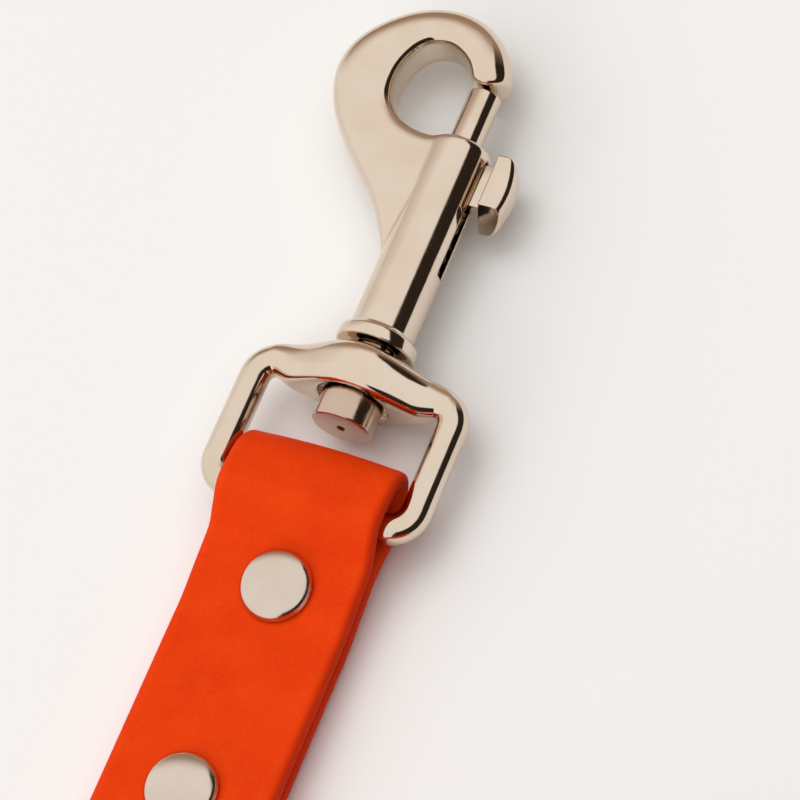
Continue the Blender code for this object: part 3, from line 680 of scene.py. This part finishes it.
def hand_loop(coating):
    """The closed loop at the strap's end, its tail lapped inside and riveted."""
    centre = ORIGIN + Vector((COIL_RADIUS, -COIL_DISTANCE, STRAP_WIDTH / 2))
    first = math.pi + 2 * math.pi * (COIL_RADIUS - LOOP_RADIUS) / COIL_PITCH
    lap = LOOP_LAP / LOOP_RADIUS
    layer = STRAP_THICKNESS + LAYER_GAP
    spots = []
    for step in range(181):
        turned_by = (2 * math.pi + lap) * step / 180
        ease = min(max((turned_by - lap) / (2 * math.pi - lap), 0), 1)
        radius = LOOP_RADIUS - layer * ease
        away = Vector((math.cos(first + turned_by), math.sin(first + turned_by), 0))
        spots.append((centre + radius * away, Vector((0, 0, 1)), away, LOOP_RADIUS * turned_by))
    piece = sweep("hand_loop", spots, strap_section(16))
    finish_piece(piece, coating, "strap", "strap", "strap_hand_loop")
    return piece


# Rivets

def rivet_cap(name, place, rotation, nickel, node):
    """A domed cap with a rolled rim; local zero is its seat."""
    edge = 0.28 * MM
    rings = [(CAP_RADIUS - 1.2 * MM, 0.05 * MM), (CAP_RADIUS - edge, 0)]
    rings += quarter(CAP_RADIUS - edge, edge, edge, -75, 55, 6)
    dome = CAP_RADIUS - 0.12 * MM
    for angle in range(80, 0, -8):
        spread = math.radians(angle)
        rings.append((dome * math.sin(spread), 0.50 * MM + 1.5 * MM * math.cos(spread)))
    rings.append((0.02 * MM, 2.0 * MM))
    cap = turned(name, rings, place, rotation, 72)
    smooth(cap, 60)
    finish_piece(cap, nickel, "strap", "nickel", node)
    return cap


def rivet_post(name, place, rotation, nickel, node, length, back):
    """The post and its low back cap; local zero is the cap's seat and the post runs down."""
    flange = 1.0 * MM
    rings = [(0.25 * CAP_RADIUS, back - flange), (0.55 * CAP_RADIUS, back - flange),
             (0.80 * CAP_RADIUS, back - 0.86 * flange), (0.94 * CAP_RADIUS, back - 0.55 * flange)]
    rings += quarter(CAP_RADIUS - 0.25 * MM, back - 0.25 * MM, 0.25 * MM, -20, 90, 4)
    rings += [(POST_RADIUS, back), (POST_RADIUS, back + length), (0.3 * MM, back + length)]
    post = turned(name, rings, place, rotation, 48)
    finish_piece(post, nickel, "strap", "nickel", node)
    return post


def rivets(nickel):
    """Two rivets through the fold and two through the hand loop's lap."""
    made = []
    grip = 2 * STRAP_THICKNESS + LAYER_GAP
    for index in range(2):
        y = -RIVET_TO_BAR - RIVET_PITCH * index
        tilt = RIVET_TILTS[index]
        middle = (LOWER_LAYER + UPPER_LAYER) / 2 + math.tan(tilt) * CAP_RADIUS
        above = grip / 2 + 0.02 * MM
        seat = ORIGIN + Vector((RIVET_OFFSETS[index], y - above * math.sin(tilt),
                                middle + above * math.cos(tilt)))
        turn = (tilt, 0, 0)
        rivet_cap(f"hook_cap_{index + 1}", seat, turn, nickel, f"hook_rivet_{index + 1}_cap")
        rivet_post(f"hook_post_{index + 1}", seat, turn, nickel,
                   f"hook_rivet_{index + 1}_post", grip + 1.2 * MM, -grip - 0.2 * MM)
    layer = STRAP_THICKNESS + LAYER_GAP
    centre = ORIGIN + Vector((COIL_RADIUS, -COIL_DISTANCE, STRAP_WIDTH / 2))
    first = math.pi + 2 * math.pi * (COIL_RADIUS - LOOP_RADIUS) / COIL_PITCH
    hollow = (2 * CAP_RADIUS) ** 2 / 8 / (LOOP_RADIUS - grip)
    for index, side in enumerate((-1, 1)):
        angle = first + LOOP_LAP / LOOP_RADIUS / 2 + side * 11 * MM / LOOP_RADIUS
        reach = LOOP_RADIUS - layer / 2 + grip / 2 + 0.1 * MM
        seat = centre + reach * Vector((math.cos(angle), math.sin(angle), 0))
        turn = (0, math.pi / 2, angle)
        made.append(rivet_cap(f"handle_cap_{index + 1}", seat, turn, nickel,
                              f"handle_rivet_{index + 1}_cap"))
        made.append(rivet_post(f"handle_post_{index + 1}", seat, turn, nickel,
                               f"handle_rivet_{index + 1}_post", grip + 1.2 * MM,
                               -grip - 0.3 * MM - hollow))
    return made


# Bail, swivel and snap

def boss_swelling():
    """The swelling of the bail's upper bar: rounded above, flat underneath."""
    count = 40
    corner = BAIL_CORNER + BAR_RADIUS
    stations = [(MM, (2 * step / count - 1) * 0.45 * BOSS_LENGTH) for step in range(count + 1)]
    boss = turned("boss", stations, (0, 0, 0), (0, math.pi / 2, 0), 64)
    for vertex in boss.data.vertices:
        x = vertex.co.x
        s = vertex.co.y / MM
        c = vertex.co.z / MM
        swell = (1 + math.cos(2 * math.pi * x / BOSS_LENGTH)) / 2
        past = max(abs(x) - LEG_OFFSET + BAIL_CORNER, 0)
        bar_top = BAIL_HEIGHT - BAIL_CORNER + math.sqrt(corner**2 - past**2)
        top = bar_top + swell * (BOSS_TOP - BAIL_HEIGHT - BAR_RADIUS)
        deepen = (1 + math.cos(2 * math.pi * min(abs(x) / BOSS_DEEP_LENGTH, 0.5))) / 2
        depth = BAR_RADIUS + deepen * (BOSS_DEPTH / 2 - BAR_RADIUS)
        upturn = max((2 * abs(x) - BOSS_FLAT_LENGTH) / (0.9 * BOSS_LENGTH - BOSS_FLAT_LENGTH), 0)
        upturn = upturn * upturn * (3 - 2 * upturn)
        under = BOSS_UNDERSIDE + upturn * (BAIL_HEIGHT - BAR_RADIUS - BOSS_UNDERSIDE)
        power = 2 / (2 + (1.5 if s > 0 else 4) * swell)
        vertex.co.y = ((under + top) / 2
                       + (top - under) / 2 * math.copysign(abs(s)**power, s))
        vertex.co.z = depth * math.copysign(abs(c)**power, c)
    return boss


def bail_casting(nickel):
    """The bail, cast in one with the swivel's boss."""
    outline = []
    across = LEG_OFFSET - BAIL_CORNER
    along = BAIL_HEIGHT - BAIL_CORNER
    for x, y, start in ((across, BAIL_CORNER, -90), (across, along, 0),
                        (-across, along, 90), (-across, BAIL_CORNER, 180)):
        for radius, height in quarter(x, y, BAIL_CORNER, start, start + 90, 12):
            outline.append((radius, height, 0))
    curve = bpy.data.curves.new("bail_rod", "CURVE")
    curve.dimensions = "3D"
    curve.bevel_depth = BAR_RADIUS
    curve.bevel_resolution = 12
    spline = curve.splines.new("POLY")
    spline.points.add(len(outline) - 1)
    for point, spot in zip(spline.points, outline):
        point.co = (*spot, 1)
    spline.use_cyclic_u = True
    rod = bpy.data.objects.new("bail_rod", curve)
    bpy.context.scene.collection.objects.link(rod)
    choose(rod)
    bpy.ops.object.convert(target="MESH")
    rod = bpy.context.object

    bail = fuse([rod, boss_swelling()], 0.24 * MM, 9)
    bail.name = "bail_casting"
    cut(bail, block("foot_trim", (0, BOSS_UNDERSIDE - 5 * MM, 0), (0.0238, 0.010, 0.030)))
    deep = BOSS_UNDERSIDE + 1.5 * MM
    cut(bail, turned("recess", [(5.4 * MM, BOSS_UNDERSIDE - 3 * MM), (5.4 * MM, deep)],
                     (0, 0, 0), ALONG_Y, 64))
    cut(bail, turned("stem_hole", [(2.8 * MM, BOSS_UNDERSIDE), (2.8 * MM, BOSS_TOP + 3 * MM)],
                     (0, 0, 0), ALONG_Y, 48))
    recast(bail, 0.2 * MM, 5)
    bail.location = ORIGIN + Vector((0, 0, SNAP_PLANE))
    settle(bail)
    finish_piece(bail, nickel, "bail", "nickel", "bail")
    return bail


def swivel_rivet(nickel):
    """The pin that the snap turns on, with its spun head and centre hole."""
    head = 4.6 * MM
    end = BOSS_UNDERSIDE + 1.5 * MM - 0.3 * MM - 5.4 * MM
    edge = 0.45 * MM
    rings = [(0.5 * MM, end + 2.0 * MM), (0.62 * MM, end + 0.15 * MM), (0.8 * MM, end),
             (head - edge, end)]
    rings += quarter(head - edge, end + edge, edge, -80, 0, 5)
    rings += [(head, end + 5.0 * MM), (head - 0.4 * MM, end + 5.4 * MM),
              (2.5 * MM, end + 5.4 * MM), (2.5 * MM, COLLAR_FOOT + 4 * MM),
              (0.5 * MM, COLLAR_FOOT + 4 * MM)]
    pin = turned("swivel_rivet", rings, ORIGIN + Vector((0, 0, SNAP_PLANE)), ALONG_Y)
    finish_piece(pin, nickel, "snap", "nickel", "swivel_pin")
    return pin


def hook_outline():
    """The hook in plan, up its back, round the crown to the tip and back round the eye."""
    reach = HOOK_REACH
    rise = HOOK_RISE
    mouth = BARREL_MOUTH
    tip = mouth + TIP_RISE
    back = smooth_line([(-0.12 * reach, mouth - 1.25 * rise), (-0.22 * reach, mouth - 0.92 * rise),
                        (-0.30 * reach, mouth - 0.74 * rise), (-0.43 * reach, mouth - 0.54 * rise),
                        (-0.63 * reach, mouth - 0.32 * rise), (-0.83 * reach, mouth - 0.07 * rise),
                        (-0.95 * reach, mouth + 0.15 * rise), (-reach, mouth + 0.38 * rise),
                        (-0.95 * reach, mouth + 0.61 * rise), (-0.80 * reach, mouth + 0.81 * rise),
                        (-0.60 * reach, mouth + 0.95 * rise), (-0.37 * reach, mouth + rise),
                        (-0.15 * reach, mouth + 0.945 * rise), (0.02 * reach, mouth + 0.80 * rise),
                        (0.12 * reach, mouth + 0.61 * rise), (0.14 * reach, tip)], 8)
    eye = smooth_line([(-0.09 * reach, tip), (-0.12 * reach, mouth + 0.52 * rise),
                       (-0.19 * reach, mouth + 0.62 * rise), (-0.33 * reach, mouth + 0.70 * rise),
                       (-0.47 * reach, mouth + 0.66 * rise), (-0.548 * reach, mouth + 0.52 * rise),
                       (-0.57 * reach, mouth + 0.36 * rise), (-0.535 * reach, mouth + 0.20 * rise),
                       (-0.44 * reach, mouth + 0.075 * rise), (-0.30 * reach, mouth + 0.01 * rise),
                       (-0.12 * reach, mouth - 0.01 * rise)], 8)
    spine = [Vector((0, mouth - 0.03 * rise)), Vector((0, mouth - 1.25 * rise))]
    return back, eye, spine


def snap_casting(nickel):
    """The snap's body: barrel, flare and hook in one casting, then bored and slotted."""
    back, eye, spine = hook_outline()
    hook = plate("snap_casting", [*back, *eye, *spine], HOOK_THICKNESS)
    eye_spots = [(spot.x, spot.y) for spot in eye]

    def near_eye(spot):
        return min(math.hypot(spot.x - x, spot.y - y) for x, y in eye_spots) < 0.02 * MM

    bevel_where(hook, lambda spot: not near_eye(spot), 3.4 * MM, 8)
    bevel_where(hook, near_eye, 1.7 * MM, 6)
    recast(hook, 0.26 * MM, 34)
    full = BARREL_MOUTH - 8 * MM
    thin = BARREL_MOUTH - 22 * MM
    for vertex in hook.data.vertices:
        share = min(max((vertex.co.y - thin) / (full - thin), 0), 1)
        vertex.co.z *= 0.35 + 0.65 * share * share * (3 - 2 * share)
    mouth = 0.8 * MM
    rings = [(BARREL_RADIUS - 0.3 * MM, COLLAR_FOOT + 0.4 * MM)]
    rings += [(BARREL_RADIUS, COLLAR_FOOT + 0.8 * MM)]
    rings += quarter(BARREL_RADIUS - mouth, BARREL_MOUTH - mouth, mouth, 0, 90, 5)
    rings += [(0.5 * MM, BARREL_MOUTH)]
    barrel = turned("barrel", rings, (0, 0, 0), ALONG_Y, 128)
    snap = fuse([hook, barrel], 0.24 * MM, 22)
    snap.name = "snap_casting"
    bore = BOLT_RADIUS + 0.3 * MM
    cut(snap, turned("bore", [(bore, BARREL_MOUTH - 28 * MM), (bore, BARREL_MOUTH + 6 * MM)],
                     (0, 0, 0), ALONG_Y, 64))
    slot_top = BARREL_MOUTH - 1.6 * MM
    cut(snap, block("slot", (BARREL_RADIUS, slot_top - 9.8 * MM, 0), (0.0098, 0.0196, 0.0024)))
    recast(snap, 0.2 * MM, 5)

    edge = 0.45 * MM
    top = COLLAR_FOOT + COLLAR_HEIGHT
    rings = [(2.9 * MM, COLLAR_FOOT)]
    rings += quarter(COLLAR_RADIUS - edge, COLLAR_FOOT + edge, edge, -80, 0, 5)
    rings += quarter(COLLAR_RADIUS - 1.3 * edge, top - 1.3 * edge, 1.3 * edge, 5, 80, 6)
    rings += [(BARREL_RADIUS + 0.30 * MM, top + 0.10 * MM), (BARREL_RADIUS + 0.1 * MM, top + 0.4 * MM),
              (BARREL_RADIUS - 0.15 * MM, top + 0.9 * MM), (2.9 * MM, top + 0.9 * MM)]
    collar = turned("collar", rings, (0, 0, 0), ALONG_Y, 128)
    smooth(collar, 50)
    choose(snap)
    collar.select_set(True)
    bpy.context.view_layer.objects.active = snap
    bpy.ops.object.join()
    snap.location = ORIGIN + Vector((0, 0, SNAP_PLANE))
    settle(snap)
    finish_piece(snap, nickel, "snap", "nickel", "snap_body")
    return snap


def bolt_pin(nickel):
    """The sliding bolt with its broken edges."""
    radius = BOLT_RADIUS
    tip = BARREL_MOUTH + TIP_RISE - 0.3 * MM
    foot = BARREL_MOUTH - 11.5 * MM
    nose = 0.35 * MM
    rings = [(0.3 * MM, foot), (radius - nose, foot), (radius, foot + nose)]
    rings += quarter(radius - nose, tip - nose, nose, 0, 85, 5)
    rings += [(0.3 * MM, tip)]
    bolt = turned("bolt_pin", rings, ORIGIN + Vector((0, 0, SNAP_PLANE)), ALONG_Y, 64)
    finish_piece(bolt, nickel, "bolt", "nickel", "snap_bolt")
    return bolt


def thumb_knob(nickel):
    """The knob: a loaf with a domed outer face, on a thin neck."""
    low, high = [Vector(corner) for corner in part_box("thumb_knob")]
    inner = ORIGIN.x + BARREL_RADIUS + 1.5 * MM
    outer = high.x
    middle = (low + high) / 2
    knob = block("knob_loaf", ((inner + outer) / 2, middle.y, middle.z),
                 (outer - inner, high.y - low.y, high.z - low.z))
    bevel_where(knob, lambda spot: spot.x > outer - 0.1 * MM, 1.7 * MM, 7)
    bevel_where(knob, lambda spot: spot.x < inner + 0.1 * MM, 0.3 * MM, 3)
    half = (high.y - low.y) / 2
    slant = math.atan2(KNOB_SLANT, high.z - low.z)
    trim = 6 * MM
    trimmer = block("knob_trim", (0, 0, 0), (0.02, trim, 0.02))
    trimmer.rotation_euler = (-slant, 0, 0)
    trimmer.location = (inner, low.y + KNOB_SLANT / 2 - math.cos(slant) * trim / 2,
                        middle.z + math.sin(slant) * trim / 2)
    settle(trimmer)
    cut(knob, trimmer)
    recast(knob, 0.13 * MM, 4)
    for vertex in knob.data.vertices:
        along = (vertex.co.y - middle.y) / half
        outward_share = (vertex.co.x - inner) / (outer - inner)
        vertex.co.x -= 1.1 * MM * along * along * outward_share
    neck_top = BARREL_MOUTH - 1.9 * MM
    neck = block("neck", ((low.x + inner) / 2 + 0.4 * MM, ORIGIN.y + neck_top - 3.6 * MM, middle.z),
                 (inner - low.x + 0.8 * MM, 7.2 * MM, 1.8 * MM))
    bevel_where(neck, lambda spot: True, 0.2 * MM, 2)
    smooth(neck, 40)
    choose(knob)
    neck.select_set(True)
    bpy.context.view_layer.objects.active = knob
    bpy.ops.object.join()
    knob.name = "knob_and_neck"
    finish_piece(knob, nickel, "bolt", "nickel", "thumb_knob")
    return knob


def coil_spring(steel):
    """The spring under the bolt, its end turns closed."""
    low, high = [Vector(corner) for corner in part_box("bolt_spring")]
    wire = 0.25 * MM
    axis = (low + high) / 2
    radius = (high.x - low.x) / 2 - wire
    points = []
    count = 240
    for step in range(count + 1):
        share = step / count
        eased = share + 0.035 * math.sin(4 * math.pi * share - math.pi) * (1 - share) * share * 4
        angle = 2 * math.pi * 9 * share
        y = low.y + wire + (high.y - low.y - 2 * wire) * eased
        points.append((axis.x + radius * math.cos(angle), y, axis.z + radius * math.sin(angle)))
    curve = bpy.data.curves.new("coil_spring", "CURVE")
    curve.dimensions = "3D"
    curve.bevel_depth = wire
    curve.bevel_resolution = 3
    curve.use_fill_caps = True
    spline = curve.splines.new("POLY")
    spline.points.add(len(points) - 1)
    for point, spot in zip(spline.points, points):
        point.co = (*spot, 1)
    spring = bpy.data.objects.new("coil_spring", curve)
    bpy.context.scene.collection.objects.link(spring)
    choose(spring)
    bpy.ops.object.convert(target="MESH")
    spring = bpy.context.object
    smooth(spring, 60)
    finish_piece(spring, steel, "snap", "spring", "bolt_spring")
    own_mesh(spring)
    return spring


def add_floor():
    deselect()
    bpy.ops.mesh.primitive_plane_add(size=8, location=(0, 0, -0.0001))
    floor = bpy.context.object
    floor.name = "floor"
    settle(floor)
    floor.data.materials.append(pale_floor())


add_camera()
add_light()
strap_coating = coated_strap()
pin_nickel = polished_nickel("pin_nickel", (0.60, 0.47, 0.37), 0.16, 0.020 * MM)
snap_nickel = polished_nickel("snap_nickel", (0.74, 0.625, 0.515), 0.075, 0.022 * MM)
rivet_nickel = polished_nickel("rivet_nickel", (0.70, 0.60, 0.52), 0.16, 0.012 * MM)

coil, route, cord_length = stored_strap(strap_coating)
loop = hand_loop(strap_coating)
strap_fold(strap_coating)
handle_rivets = rivets(rivet_nickel)
bail_casting(snap_nickel)
swivel_rivet(pin_nickel)
snap_casting(snap_nickel)
bolt_pin(snap_nickel)
thumb_knob(snap_nickel)
coil_spring(spring_wire())
add_floor()
